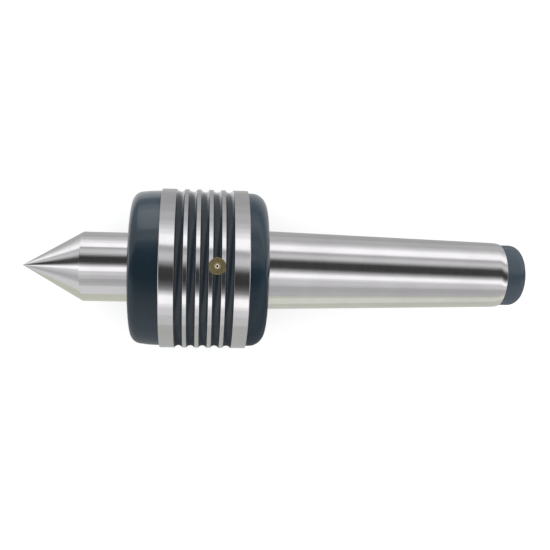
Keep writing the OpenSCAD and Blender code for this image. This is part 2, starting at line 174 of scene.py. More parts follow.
def turned_profile(corners, closed=True):
    """corners are (x, r, fillet radius, slot of the edge that follows).
    A fillet between two slots takes the lower one. A profile that isn't closed starts and ends
    on the axis."""
    shape = Turned()
    count = len(corners)
    ends = []
    for i, (x, r, radius, slot) in enumerate(corners):
        here = Vector((x, r))
        before = Vector(corners[i - 1][:2])
        after = Vector(corners[(i + 1) % count][:2])
        if radius <= 0 or (not closed and i in (0, count - 1)):
            ends.append((here, here))
            continue
        d_in, d_out = (here - before).normalized(), (after - here).normalized()
        turn = abs(math.atan2(d_in.x * d_out.y - d_in.y * d_out.x, d_in.dot(d_out)))
        reach = radius * math.tan(turn / 2)
        ends.append((here - d_in * reach, here + d_out * reach))
        slot_in = corners[i - 1][3]
        ends[-1] += (d_in, d_out, radius, min(slot_in, slot))
    for i in range(count):
        if len(ends[i]) > 2:
            start, end, d_in, d_out, radius, slot = ends[i]
            shape.fillet(start, end, d_in, d_out, radius, slot)
        if closed or i < count - 1:
            shape.line(tuple(ends[i][1]), tuple(ends[(i + 1) % count][0]), corners[i][3])
    return shape


def point_keys(stretches):
    """The stretches' points, once each and in order, and the index of each stretch's two ends."""
    keys, index, pairs = [], {}, []
    for p0, p1, *_ in stretches:
        pair = []
        for p in (p0, p1):
            key = (round(p[0], KEY_PLACES), round(p[1], KEY_PLACES))
            if key not in index:
                index[key] = len(keys)
                keys.append(key)
            pair.append(index[key])
        pairs.append(pair)
    return keys, pairs


def welded(mesh):
    """The mesh with points that lie in one place joined and empty faces taken out."""
    build = bmesh.new()
    build.from_mesh(mesh)
    bmesh.ops.remove_doubles(build, verts=build.verts, dist=WELD * MM)
    bmesh.ops.dissolve_degenerate(build, edges=build.edges, dist=WELD * MM)
    build.to_mesh(mesh)
    build.free()
    return mesh


def turned_mesh(name, shape, segments):
    """Mesh of the profile turned about X, in metres."""
    keys, pairs = point_keys(shape.stretches)
    verts, first = [], []
    for x, r in keys:
        first.append(len(verts))
        if r < ON_AXIS_R:
            verts.append((x * MM, 0, 0))
            continue
        for j in range(segments):
            a = TURN * j / segments
            verts.append((x * MM, -r * math.sin(a) * MM, r * math.cos(a) * MM))
    faces, slots = [], []
    for (i0, i1), (*_, slot) in zip(pairs, shape.stretches):
        pole0, pole1 = keys[i0][1] < ON_AXIS_R, keys[i1][1] < ON_AXIS_R
        if pole0 and pole1:
            continue
        for j in range(segments):
            k = (j + 1) % segments
            a0, a1 = (first[i0], first[i0]) if pole0 else (first[i0] + j, first[i0] + k)
            b0, b1 = (first[i1], first[i1]) if pole1 else (first[i1] + j, first[i1] + k)
            ring = [a0, a1, b1, b0]
            faces.append([v for n, v in enumerate(ring) if v not in ring[:n]])
            slots.append(slot)
    mesh = bpy.data.meshes.new(name)
    mesh.from_pydata(verts, [], faces)
    mesh.polygons.foreach_set("material_index", slots)
    return welded(mesh)


def numbers(items, name, size, kind=float):
    """One attribute of every item of a mesh collection, as rows of that size."""
    values = np.empty(len(items) * size, kind)
    items.foreach_get(name, values)
    return values.reshape(-1, size) if size > 1 else values


TINY = 1e-9
FACING = 0.9                # least cosine between a face and the stretch that it lies on
NOT_FACING = 1.0            # millimetres added to the distance of any other stretch
OFF_PROFILE = 0.05          # faces farther off than this aren't turned ones
HAS_SPOKE_R = 1e-5


def unit(rows):
    """Each row at length 1."""
    return rows / np.maximum(np.linalg.norm(rows, axis=1, keepdims=True), TINY)


def nearest_stretch(stretches, centers, flat):
    """For each face, the stretch of the profile that it lies on and how far off it is."""
    radii = np.hypot(centers[:, 1], centers[:, 2])
    profile = np.stack([centers[:, 0], radii], 1)
    outward = (centers[:, 1] * flat[:, 1] + centers[:, 2] * flat[:, 2]) / np.maximum(radii, TINY)
    faced = np.stack([flat[:, 0], outward], 1)
    best = np.zeros(len(centers), int)
    away = np.full(len(centers), np.inf)
    for i, (p0, p1, n0, n1, _) in enumerate(stretches):
        p0, along = np.array(p0), np.array(p1) - np.array(p0)
        t = np.clip((profile - p0) @ along / (along @ along), 0, 1)
        gap = np.linalg.norm(profile - p0 - t[:, None] * along, axis=1)
        middle = np.array(n0) + np.array(n1)
        gap = gap + np.where(faced @ middle > FACING * np.linalg.norm(middle), 0, NOT_FACING)
        closer = gap < away
        best[closer], away[closer] = i, gap[closer]
    return best, away


def true_normals(mesh, shape):
    """Sets each corner's normal from the profile. Faces that aren't on it, such as a hole's
    walls, stay flat."""
    centers = numbers(mesh.polygons, "center", 3) / MM
    flat = numbers(mesh.polygons, "normal", 3)
    best, away = nearest_stretch(shape.stretches, centers, flat)
    face = np.repeat(np.arange(len(mesh.polygons)), numbers(mesh.polygons, "loop_total", 1, int))
    at = numbers(mesh.vertices, "co", 3)[numbers(mesh.loops, "vertex_index", 1, int)] / MM
    p0, p1, n0, n1 = (np.array([s[k] for s in shape.stretches])[best[face]] for k in range(4))
    along = p1 - p0
    radii = np.hypot(at[:, 1], at[:, 2])
    profile = np.stack([at[:, 0], radii], 1)
    t = np.clip(((profile - p0) * along).sum(1) / (along ** 2).sum(1), 0, 1)[:, None]
    tilt = n0 * (1 - t) + n1 * t
    spoke = np.where(radii[:, None] > HAS_SPOKE_R, at[:, 1:], centers[face][:, 1:])
    normals = unit(np.hstack([tilt[:, :1], tilt[:, 1:] * unit(spoke)]))
    normals = np.where(away[face][:, None] > OFF_PROFILE, flat[face], normals)
    mesh.polygons.foreach_set("use_smooth", [True] * len(mesh.polygons))
    mesh.normals_split_custom_set(normals)


def new_object(name, data):
    """An object in the scene that shows a mesh, a light or a camera."""
    obj = bpy.data.objects.new(name, data)
    bpy.context.scene.collection.objects.link(obj)
    return obj


CUTTER_OVERHANG = 1.0       # how far a cutter stands out of the surface


def hole_cutter(at, axis, radius, depth, chamfer):
    """A bar with a flared mouth, to cut a blind hole from at along -axis, in millimetres."""
    mouth_r = radius + chamfer + CUTTER_OVERHANG
    shape = turned_profile([
        (-CUTTER_OVERHANG, 0, 0, MAIN), (-CUTTER_OVERHANG, mouth_r, 0, MAIN),
        (chamfer, radius, 0, MAIN), (depth, radius, 0, MAIN), (depth, 0, 0, MAIN),
    ], closed=False)
    cutter = new_object("cutter", turned_mesh("cutter", shape, SMALL_SEGMENTS))
    turn = Vector((-1, 0, 0)).rotation_difference(Vector(axis)).to_matrix().to_4x4()
    cutter.matrix_world = Matrix.Translation(Vector(at) * MM) @ turn
    return cutter


def cut_hole(obj, hole):
    """Cuts one hole out of the object's mesh. hole is what hole_cutter takes."""
    cutter = hole_cutter(*hole)
    cut = obj.modifiers.new("hole", "BOOLEAN")
    cut.object = cutter
    cut.solver = "EXACT"
    graph = bpy.context.evaluated_depsgraph_get()
    mesh = welded(bpy.data.meshes.new_from_object(obj.evaluated_get(graph)))
    obj.modifiers.clear()
    obj.data = mesh
    bpy.data.objects.remove(cutter)


def settle(obj, body, node):
    """Puts a piece on the body that it rides and hides the CAD node that it stands for."""
    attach(obj, body)
    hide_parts(node)


def turned_piece(name, shape, body, node, materials, segments=SEGMENTS, holes=(), move=None):
    """A turned piece with its materials, its holes cut and its true normals.
    move takes the mesh from the X axis to where it belongs."""
    obj = new_object(name, turned_mesh(name, shape, segments))
    for mat in materials:
        obj.data.materials.append(mat)
    for hole in holes:
        cut_hole(obj, hole)
    true_normals(obj.data, shape)
    if move:
        move(obj.data)
    settle(obj, body, node)
    return obj


# ---------------------------------------------------------------- materials

NOISE_LOW, NOISE_HIGH = 0.3, 0.7
TONE_LOW, TONE_HIGH = 0.35, 0.65
RING_STRETCH = (1, 0.012, 0.012)
BROAD_STRETCH = (1, 0.03, 0.03)
BROAD_WIDTH = 7             # how many times wider the broad marks are than the fine ones
BROAD_SHARE = 0.6
SPECK_SHARE = 0.3
FIBRE_STRETCH = (1, 0.25, 0.25)


class Nodes:
    """A material's node tree, with short calls to add to it."""

    def __init__(self, name):
        self.mat = bpy.data.materials.new(name)
        self.mat.use_nodes = True
        self.tree = self.mat.node_tree
        self.shader = self.tree.nodes["Principled BSDF"]
        self.place = self.add("ShaderNodeTexCoord").outputs["Object"]

    def add(self, kind, **values):
        """A new node with these settings."""
        node = self.tree.nodes.new(kind)
        for key, value in values.items():
            setattr(node, key, value)
        return node

    def link(self, source, target):
        self.tree.links.new(source, target)

    def set(self, **values):
        """Sets shader sockets by name, with _ for a space."""
        for key, value in values.items():
            self.shader.inputs[key.replace("_", " ")].default_value = value

    def noise(self, scale, stretch=(1, 1, 1), detail=3.0, rough=0.55):
        """Noise in object space: scale is per metre, stretch multiplies it on each axis."""
        mapping = self.add("ShaderNodeMapping")
        mapping.inputs["Scale"].default_value = [scale * s for s in stretch]
        noise = self.add("ShaderNodeTexNoise")
        noise.inputs["Scale"].default_value = 1.0
        noise.inputs["Detail"].default_value = detail
        noise.inputs["Roughness"].default_value = rough
        self.link(self.place, mapping.inputs["Vector"])
        self.link(mapping.outputs["Vector"], noise.inputs["Vector"])
        return noise.outputs["Fac"]

    def remap(self, source, low, high):
        """Noise, which lies mostly from NOISE_LOW to NOISE_HIGH, stretched to low and high."""
        node = self.add("ShaderNodeMapRange")
        for key, value in zip(("From Min", "From Max", "To Min", "To Max"),
                              (NOISE_LOW, NOISE_HIGH, low, high)):
            node.inputs[key].default_value = value
        self.link(source, node.inputs["Value"])
        return node.outputs["Result"]

    def colour(self, source, low, high, position_low=NOISE_LOW, position_high=NOISE_HIGH):
        """Base colour that runs from low to high as source goes between the positions."""
        ramp = self.add("ShaderNodeValToRGB")
        stops = (position_low, low), (position_high, high)
        for element, (position, colour) in zip(ramp.color_ramp.elements, stops):
            element.position = position
            element.color = (*colour, 1)
        self.link(source, ramp.inputs["Fac"])
        self.link(ramp.outputs["Color"], self.shader.inputs["Base Color"])

    def gloss(self, source, low, high):
        """Roughness that runs from low to high with source."""
        self.link(self.remap(source, low, high), self.shader.inputs["Roughness"])

    def bump(self, heights, distance=0.00002):
        """Bump from one or more (height, strength), in order."""
        previous = None
        for height, strength in heights:
            node = self.add("ShaderNodeBump")
            node.inputs["Strength"].default_value = strength
            node.inputs["Distance"].default_value = distance
            self.link(height, node.inputs["Height"])
            if previous is not None:
                self.link(previous, node.inputs["Normal"])
            previous = node.outputs["Normal"]
        self.link(previous, self.shader.inputs["Normal"])

    def around_x(self):
        """Tangent along the tool marks of a part turned about X."""
        tangent = self.add("ShaderNodeTangent", direction_type="RADIAL", axis="X")
        self.link(tangent.outputs["Tangent"], self.shader.inputs["Tangent"])


def turned_steel(name, low, high, rough, marks, mark_scale=2600.0, anisotropic=0.75):
    """Ground or turned steel: rings of tool marks, cloudy tone and uneven gloss."""
    m = Nodes(name)
    rings = m.noise(mark_scale, RING_STRETCH, detail=4)
    broad = m.noise(mark_scale / BROAD_WIDTH, BROAD_STRETCH, detail=2)
    m.set(Metallic=1.0, Anisotropic=anisotropic, Anisotropic_Rotation=0.25)
    m.colour(m.noise(scale=70, detail=5), low, high, TONE_LOW, TONE_HIGH)
    m.gloss(rings, *rough)
    m.bump([(broad, marks * BROAD_SHARE), (rings, marks)])
    m.around_x()
    return m.mat


def glossy_paint(name, low, high, rough, coat, peel=0.16):
    """Paint over turned steel: orange peel, faint cloudiness and a clear top layer."""
    m = Nodes(name)
    skin = m.noise(scale=950, detail=2)
    specks = m.noise(scale=5200, detail=1)
    m.colour(m.noise(scale=55, detail=4), low, high)
    m.gloss(m.noise(scale=160), *rough)
    m.set(Coat_Weight=coat, Coat_Roughness=0.12, Specular_IOR_Level=0.5)
    m.bump([(skin, peel), (specks, peel * SPECK_SHARE)], distance=0.00004)
    return m.mat


def plain_metal(name, low, high, rough, bump=0.12):
    """Bearing and spring parts: fine scatter of tone, gloss and surface."""
    m = Nodes(name)
    m.colour(m.noise(scale=100, detail=5), low, high)
    m.gloss(m.noise(scale=400), *rough)
    m.set(Metallic=1.0)
    m.bump([(m.noise(scale=2400, detail=3), bump)])
    return m.mat


def rubber(name):
    """Moulded rubber: nearly black, with a fine dull skin."""
    m = Nodes(name)
    m.colour(m.noise(scale=300, detail=5), (0.010, 0.010, 0.011), (0.022, 0.022, 0.023))
    m.gloss(m.noise(scale=900), low=0.45, high=0.7)
    m.bump([(m.noise(scale=4000), 0.25)])
    return m.mat


def felt(name):
    """Pressed felt: coarse fibres that lie around the ring."""
    m = Nodes(name)
    fibres = m.noise(5000, FIBRE_STRETCH, detail=6, rough=0.75)
    m.colour(fibres, (0.20, 0.19, 0.16), (0.42, 0.40, 0.35))
    m.set(Roughness=0.95, Sheen_Weight=0.4)
    m.bump([(fibres, 0.8)], distance=0.0002)
    return m.mat


SHANK_STEEL = turned_steel(
    "ground_shank_steel", low=(0.745, 0.73, 0.745), high=(0.80, 0.785, 0.80),
    rough=(0.11, 0.17), marks=0.08)
LAND_STEEL = turned_steel(
    "ground_land_steel", low=(0.74, 0.73, 0.745), high=(0.80, 0.785, 0.805),
    rough=(0.10, 0.16), marks=0.08, anisotropic=0.3)
POINT_STEEL = turned_steel(
    "ground_point_steel", low=(0.75, 0.735, 0.75), high=(0.81, 0.795, 0.81),
    rough=(0.10, 0.15), marks=0.08)
DARK_PAINT = glossy_paint(
    "blue_black_paint", low=(0.019, 0.050, 0.078), high=(0.025, 0.062, 0.096),
    rough=(0.26, 0.36), coat=0.5)
GROOVE_PAINT = glossy_paint(
    "groove_paint", low=(0.006, 0.017, 0.028), high=(0.009, 0.024, 0.038),
    rough=(0.36, 0.46), coat=0.15)
SLATE_PAINT = glossy_paint(
    "slate_finish", low=(0.043, 0.068, 0.093), high=(0.051, 0.080, 0.109),
    rough=(0.08, 0.14), coat=0.15, peel=0.05)
OLIVE_BRASS = turned_steel(
    "olive_brass", low=(0.44, 0.37, 0.19), high=(0.51, 0.43, 0.23),
    rough=(0.38, 0.52), marks=0.1, mark_scale=1500.0, anisotropic=0.0)
BALL_STEEL = plain_metal(
    "ball_steel", low=(0.80, 0.80, 0.81), high=(0.88, 0.88, 0.89), rough=(0.04, 0.10), bump=0.02)
BEARING_STEEL = plain_metal(
    "bearing_steel", low=(0.55, 0.56, 0.58), high=(0.68, 0.69, 0.71), rough=(0.12, 0.26))
SPRING_STEEL = plain_metal(
    "spring_steel", low=(0.20, 0.21, 0.23), high=(0.34, 0.35, 0.37), rough=(0.28, 0.45))
CAGE_BRASS = plain_metal(
    "cage_brass", low=(0.58, 0.42, 0.17), high=(0.72, 0.55, 0.25), rough=(0.22, 0.38))
SLEEVE_STEEL = turned_steel(
    "ground_sleeve_steel", low=(0.60, 0.60, 0.59), high=(0.70, 0.70, 0.69),
    rough=(0.18, 0.30), marks=0.12)
NITRILE = rubber("nitrile_rubber")
WOOL_FELT = felt("wool_felt")

CARRIED = {
    "cover_o_ring": NITRILE, "shaft_seal": NITRILE, "quill_o_ring": NITRILE,
    "felt_wiper": WOOL_FELT, "seal_garter_spring": SPRING_STEEL,
    "front_bearing_outer_ring": BEARING_STEEL, "front_bearing_inner_ring": BEARING_STEEL,
    "front_bearing_balls": BALL_STEEL, "front_bearing_cage": CAGE_BRASS,
    "bearing_circlip": SPRING_STEEL, "spacer_ring": BEARING_STEEL,
    "thrust_shaft_washer": BEARING_STEEL, "thrust_balls": BALL_STEEL, "thrust_cage": CAGE_BRASS,
    "thrust_housing_washer": BEARING_STEEL, "quill": SLEEVE_STEEL,
    "needle_cup": BEARING_STEEL, "needles": BALL_STEEL, "needle_cage": SPRING_STEEL,
    "tail_washer": BEARING_STEEL, "tail_circlip": SPRING_STEEL,
    "spring_plunger": BEARING_STEEL, "guide_pin": BEARING_STEEL, "oiler_ball": BALL_STEEL,
}
for node_name, material in CARRIED.items():
    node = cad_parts[node_name]
    node.data.materials.clear()
    node.data.materials.append(material)


# ---------------------------------------------------------------- housing

BACK_RING_DROP = 0.95
BACK_RING_R = LAND_R - BACK_RING_DROP
BACK_RING_EDGE_R = 0.12
BACK_CORNER_R = 6.0
BACK_SLOPE = 0.92           # the back stands this much farther out at the shank than at its rim
BORE_FLOOR_X = -6.0
BORE_FLOOR_R = 0.5
SPIGOT_ROOM = 0.3           # the bore goes this much deeper than the cover's spigot
LAND_W = 5.66
GROOVE_N = 5
GROOVE_W = 3.24
THIN_RING_W = 1.46
GROOVE_WALL = math.radians(59)
GROOVE_EDGE_R = 0.06
GROOVE_HALF = GROOVE_W / 2
GROOVE_SLOPE = math.tan(GROOVE_WALL)
GROOVE_FLOOR = LAND_R - GROOVE_HALF * GROOVE_SLOPE
GROOVE_PITCH = GROOVE_W + THIN_RING_W
LAST_GROOVE_X = BACK_LAND_X1 - LAND_W - GROOVE_HALF
GROOVES = [LAST_GROOVE_X - i * GROOVE_PITCH for i in reversed(range(GROOVE_N))]
GROOVE_FLAT = 0.01          # left straight between a groove's edge and its round floor
PAINT_EDGE = 0.05           # bare strip at each side of a groove
PAINT_T = 0.06              # half the paint's thickness

TAIL_CROWN_L = 3.76
TAIL_CROWN_FROM = 1.7       # from the crown's start to where its two tangents meet
TAIL_CROWN_R = 12
TAIL_CROWN_DROP = 0.39
SHANK_END_EDGE_R = 0.25

PORT_DEPTH = 6.0
PORT_ABOVE = 0.05           # the port's depth is measured from this far above the land


def round_groove_r(half, room):
    """Radius that rounds a groove's two sides up to this much room below its edges."""
    return (half / math.cos(GROOVE_WALL) - room) / GROOVE_SLOPE


def head_corners():
    """The head from its front face, over the lands and grooves, and back through the bore."""
    groove_r = round_groove_r(GROOVE_HALF, GROOVE_EDGE_R * math.tan(GROOVE_WALL / 2) + GROOVE_FLAT)
    corners = [(HEAD_X0, SPIGOT_R, 0, MAIN), (HEAD_X0, LAND_R, SOFT_R, MAIN)]
    for x in GROOVES:
        corners += [
            (x - GROOVE_HALF, LAND_R, GROOVE_EDGE_R, PAINT), (x, GROOVE_FLOOR, groove_r, PAINT),
            (x + GROOVE_HALF, LAND_R, GROOVE_EDGE_R, MAIN),
        ]
    step_x = SPIGOT_X1 + SPIGOT_ROOM
    corners += [
        (BACK_LAND_X1, LAND_R, BREAK_R, MAIN), (BACK_LAND_X1, MAIN_BORE_R, 0, MAIN),
        (step_x, MAIN_BORE_R, BREAK_R, MAIN), (step_x, SPIGOT_R, 0, MAIN),
    ]
    return corners


def groove_paint_shape():
    """Rings of paint that lie in the grooves, half sunk in the steel."""
    reach = GROOVE_HALF - PAINT_EDGE
    side = LAND_R - PAINT_EDGE * GROOVE_SLOPE
    groove_r = round_groove_r(reach, GROOVE_FLAT)
    rings = Turned()
    for x in GROOVES:
        rings.stretches += turned_profile([
            (x - reach, side + PAINT_T, 0, MAIN), (x, GROOVE_FLOOR + PAINT_T, groove_r, MAIN),
            (x + reach, side + PAINT_T, 0, MAIN), (x + reach, side - PAINT_T, 0, MAIN),
            (x, GROOVE_FLOOR - PAINT_T, groove_r, MAIN), (x - reach, side - PAINT_T, 0, MAIN),
        ]).stretches
    return rings


def back_ring_corners():
    """The painted back of the head, with the floor of the bore inside it."""
    return [
        (BACK_LAND_X1, MAIN_BORE_R, 0, MAIN), (BACK_LAND_X1, BACK_RING_R, BACK_RING_EDGE_R, PAINT),
        (HEAD_X1 - BACK_SLOPE, BACK_RING_R, BACK_CORNER_R, PAINT),
        (HEAD_X1, taper_r(HEAD_X1), 0, MAIN), (HEAD_X1, SHANK_BORE_R, 0, MAIN),
        (BORE_FLOOR_X, SHANK_BORE_R, SOFT_R, MAIN),
        (BORE_FLOOR_X, MAIN_BORE_R, BORE_FLOOR_R, MAIN),
    ]


def shank_corners():
    """The ground taper with its rounded small end and the bore for springs and plug."""
    crown_x = SHANK_X1 - TAIL_CROWN_L
    turn_x = crown_x + TAIL_CROWN_FROM
    return [
        (HEAD_X1, taper_r(HEAD_X1), 0, MAIN), (turn_x, taper_r(turn_x), TAIL_CROWN_R, MAIN),
        (SHANK_X1, taper_r(crown_x) - TAIL_CROWN_DROP, SHANK_END_EDGE_R, MAIN),
        (SHANK_X1, PLUG_THREAD_R, BREAK_R, MAIN), (PLUG_THREAD_X, PLUG_THREAD_R, 0, MAIN),
        (PLUG_THREAD_X, SHANK_BORE_R, BREAK_R, MAIN), (HEAD_X1, SHANK_BORE_R, 0, MAIN),
    ]


PORT_HOLE = ((PORT.x, 0, LAND_R + PORT_ABOVE), (0, 0, 1), OILER_R, PORT_DEPTH, 0.0)
head = turned_piece(
    "housing_head", turned_profile(head_corners()), "housing_body", "housing",
    [LAND_STEEL, GROOVE_PAINT], HEAD_SEGMENTS, [PORT_HOLE])
groove_paint = turned_piece(
    "housing_groove_paint", groove_paint_shape(), "housing_body", "housing",
    [GROOVE_PAINT], HEAD_SEGMENTS, [PORT_HOLE])
back_ring = turned_piece(
    "housing_back_ring", turned_profile(back_ring_corners()), "housing_body", "housing",
    [LAND_STEEL, DARK_PAINT], HEAD_SEGMENTS)
shank = turned_piece(
    "housing_shank", turned_profile(shank_corners()), "housing_body", "housing",
    [SHANK_STEEL])

# ---------------------------------------------------------------- front cover

PIN_HOLE_N = 4
PIN_HOLE_PCD = 46.0
PIN_HOLE_R = 2.0
PIN_HOLE_L = 4.0
PIN_HOLE_CHAMFER = 0.25
CROWN_R = 50.0
COVER_CORNER_R = 4.2
COVER_BORE_R = 14.05
FELT_R = 17.5
FELT_X0 = COVER_X0 + 1.2
FELT_X1 = COVER_X0 + 3.2
POCKET_R = 19.0
POCKET_X = COVER_X0 + 4.3


def cover_corners():
    """Crowned outside, lip over the felt, seal pocket and threaded spigot."""
    crown_turn = math.asin((HEAD_X0 - COVER_X0 - COVER_CORNER_R) / (CROWN_R - COVER_CORNER_R))
    crown_x = HEAD_X0 - CROWN_R * math.tan(crown_turn / 2)
    corner_r = COVER_R - (crown_x - COVER_X0) * math.tan(crown_turn)
    return [
        (COVER_X0, COVER_BORE_R, SOFT_R, MAIN), (COVER_X0, corner_r, COVER_CORNER_R, MAIN),
        (crown_x, COVER_R, CROWN_R, MAIN), (HEAD_X0 - SEAM, COVER_R, FINE_R, MAIN),
        (HEAD_X0 - SEAM, SPIGOT_R, 0, MAIN), (SPIGOT_X1, SPIGOT_R, SOFT_R, MAIN),
        (SPIGOT_X1, POCKET_R, SOFT_R, MAIN), (POCKET_X, POCKET_R, CRISP_R, MAIN),
        (POCKET_X, COVER_BORE_R, 0, MAIN), (FELT_X1, COVER_BORE_R, 0, MAIN),
        (FELT_X1, FELT_R, 0, MAIN), (FELT_X0, FELT_R, 0, MAIN),
        (FELT_X0, COVER_BORE_R, 0, MAIN),
    ]


def pin_holes(x, axis_x, pcd, radius, count):
    """Blind holes for a pin spanner on a circle about X, the first at +Z."""
    angles = [TURN * i / count for i in range(count)]
    places = [(x, -pcd / 2 * math.sin(a), pcd / 2 * math.cos(a)) for a in angles]
    return [(at, (axis_x, 0, 0), radius, PIN_HOLE_L, PIN_HOLE_CHAMFER) for at in places]


cover = turned_piece(
    "front_cover_shell", turned_profile(cover_corners()), "housing_body", "front_cover",
    [DARK_PAINT], HEAD_SEGMENTS,
    pin_holes(COVER_X0, -1, PIN_HOLE_PCD, PIN_HOLE_R, PIN_HOLE_N))

# ---------------------------------------------------------------- point and spindle

POINT_R = 13.65
TIP_FLAT_R = 0.12
TIP_EDGE_R = 0.05
HALF_ANGLE = math.radians(30)
CONE_EDGE_R = 0.25
COLLAR_R = 16.0
COLLAR_X = HEAD_X0 + 0.3
FRONT_SEAT_R = 12.5
FRONT_SEAT_X = cad_mm("front_bearing_inner_ring")[0].x
THRUST_SEAT_R = 10
THRUST_SEAT_X0 = cad_mm("thrust_shaft_washer")[0].x
THRUST_SEAT_X1 = cad_mm("thrust_housing_washer")[1].x - 0.6
WAIST_R = 6
NEEDLE_SEAT_R = 5
NEEDLE_SEAT_X = cad_mm("needle_cup")[0].x - 0.5
CLIP_GROOVE_R = 4.5
CLIP_LOW, CLIP_HIGH = cad_mm("tail_circlip")


def point_corners():
    """Point, cylinder, collar and the stepped spindle behind it."""
    cone = math.tan(HALF_ANGLE)
    apex = TIP_X - TIP_FLAT_R / cone
    return [
        (TIP_X, 0, 0, MAIN), (TIP_X, TIP_FLAT_R, TIP_EDGE_R, MAIN),
        (apex + POINT_R / cone, POINT_R, CONE_EDGE_R, MAIN),
        (COLLAR_X, POINT_R, SOFT_R, MAIN), (COLLAR_X, COLLAR_R, ROUND_R, MAIN),
        (FRONT_SEAT_X, COLLAR_R, ROUND_R, MAIN), (FRONT_SEAT_X, FRONT_SEAT_R, 0, MAIN),
        (THRUST_SEAT_X0, FRONT_SEAT_R, BREAK_R, MAIN), (THRUST_SEAT_X0, THRUST_SEAT_R, 0, MAIN),
        (THRUST_SEAT_X1, THRUST_SEAT_R, SOFT_R, MAIN), (THRUST_SEAT_X1, WAIST_R, SOFT_R, MAIN),
        (NEEDLE_SEAT_X, WAIST_R, SOFT_R, MAIN), (NEEDLE_SEAT_X, NEEDLE_SEAT_R, CRISP_R, MAIN),
        (CLIP_LOW.x, NEEDLE_SEAT_R, 0, MAIN), (CLIP_LOW.x, CLIP_GROOVE_R, 0, MAIN),
        (CLIP_HIGH.x, CLIP_GROOVE_R, 0, MAIN), (CLIP_HIGH.x, NEEDLE_SEAT_R, 0, MAIN),
        (POINT_HIGH.x, NEEDLE_SEAT_R, BREAK_R, MAIN), (POINT_HIGH.x, 0, 0, MAIN),
    ]


point = turned_piece(
    "center_point_turned", turned_profile(point_corners(), closed=False), "spindle_body",
    "center_point", [POINT_STEEL], POINT_SEGMENTS)

# ---------------------------------------------------------------- tail plug

PLUG_R = 12.4
PLUG_CORNER_R = 4.4
PLUG_NOSE_R = 9.9
PLUG_GUIDE_R = 4.6
PLUG_GUIDE_L = 12.0
CENTER_HOLE_R = 1.6
CENTER_HOLE_L = 7.0
CENTER_CONE_R = 2.8
PLUG_HOLE_N = 2
PLUG_HOLE_PCD = 11.5
PLUG_HOLE_R = 1.5


def plug_corners():
    """Rounded head with a center hole, thread, nose and the guide bore for the plunger."""
    cone_l = (CENTER_CONE_R - CENTER_HOLE_R) / math.tan(HALF_ANGLE)
    hole_x = TAIL_X - CENTER_HOLE_L
    guide_x = PLUG_LOW.x + PLUG_GUIDE_L
    return [
        (PLUG_LOW.x, PLUG_GUIDE_R, BREAK_R, MAIN), (PLUG_LOW.x, PLUG_NOSE_R, ROUND_R, MAIN),
        (PLUG_THREAD_X, PLUG_NOSE_R, 0, MAIN), (PLUG_THREAD_X, PLUG_THREAD_R, ROUND_R, MAIN),
        (SHANK_X1 + SEAM, PLUG_THREAD_R, 0, MAIN), (SHANK_X1 + SEAM, PLUG_R, FINE_R, MAIN),
        (TAIL_X, PLUG_R, PLUG_CORNER_R, MAIN), (TAIL_X, CENTER_CONE_R, FINE_R, MAIN),
        (TAIL_X - cone_l, CENTER_HOLE_R, 0, MAIN), (hole_x, CENTER_HOLE_R, 0, MAIN),
        (hole_x, 0, 0, MAIN), (guide_x, 0, 0, MAIN), (guide_x, PLUG_GUIDE_R, 0, MAIN),
    ]


plug = turned_piece(
    "tail_plug_turned", turned_profile(plug_corners()), "housing_body", "tail_plug",
    [SLATE_PAINT], SEGMENTS,
    pin_holes(TAIL_X, 1, PLUG_HOLE_PCD, PLUG_HOLE_R, PLUG_HOLE_N))

# ---------------------------------------------------------------- oiler

OILER_RIM_R = 0.12
OILER_MOUTH_R = 0.92
OILER_MOUTH_FLARE = 0.28
OILER_BORE_R = 1.5
OILER_LIP = 0.6
OILER_FOOT_R = 0.8
OILER_FOOT = 0.6


def oiler_corners():
    """The brass case about its own axis, from foot to rim, with the ball's bore inside."""
    foot, top = OILER_LOW.z, OILER_HIGH.z
    return [
        (foot, OILER_FOOT_R, 0, MAIN), (foot, OILER_R, CRISP_R, MAIN),
        (top, OILER_R, OILER_RIM_R, MAIN), (top, OILER_MOUTH_R, OILER_MOUTH_FLARE, MAIN),
        (top - OILER_LIP, OILER_MOUTH_R, 0, MAIN), (top - OILER_LIP, OILER_BORE_R, 0, MAIN),
        (foot + OILER_FOOT, OILER_BORE_R, 0, MAIN), (foot + OILER_FOOT, OILER_FOOT_R, 0, MAIN),
    ]


def stand_up(mesh):
    """Turns a mesh made about X to stand about Z at the oil port, normals included."""
    normals = [Vector(n.vector) for n in mesh.corner_normals]
    turn = Matrix.Rotation(-math.pi / 2, 3, "Y")
    mesh.transform(Matrix.Translation((PORT.x * MM, 0, 0)) @ turn.to_4x4())
    mesh.normals_split_custom_set([turn @ n for n in normals])


oiler = turned_piece(
    "oiler_case", turned_profile(oiler_corners()), "housing_body", "oiler_body",
    [OLIVE_BRASS], SMALL_SEGMENTS, move=stand_up)

# ---------------------------------------------------------------- springs

DISC_N = 24
DISC_T = 1.0
DISC_GAP = 0.02
DISC_R = 9.0
DISC_BORE_R = 4.6
WIRE_SHARP_ANGLE = math.radians(50)


def disc_stack():
    """Conical washers in pairs, rim to rim and bore to bore."""
    low, high = cad_mm("disc_springs")
    pitch = (high.x - low.x + DISC_GAP) / DISC_N
    rise = pitch - DISC_T - DISC_GAP
    stack = Turned()
    for i in range(DISC_N):
        x = low.x + i * pitch
        bore_x, rim_x = (x + rise, x) if i % 2 == 0 else (x, x + rise)
        stack.stretches += turned_profile([
            (bore_x, DISC_BORE_R, 0, MAIN), (rim_x, DISC_R, 0, MAIN),
            (rim_x + DISC_T, DISC_R, 0, MAIN), (bore_x + DISC_T, DISC_BORE_R, 0, MAIN),
        ]).stretches
    return stack


def shortens(piece):
    """Gives a spring its own copy of its mesh."""
    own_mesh(piece)


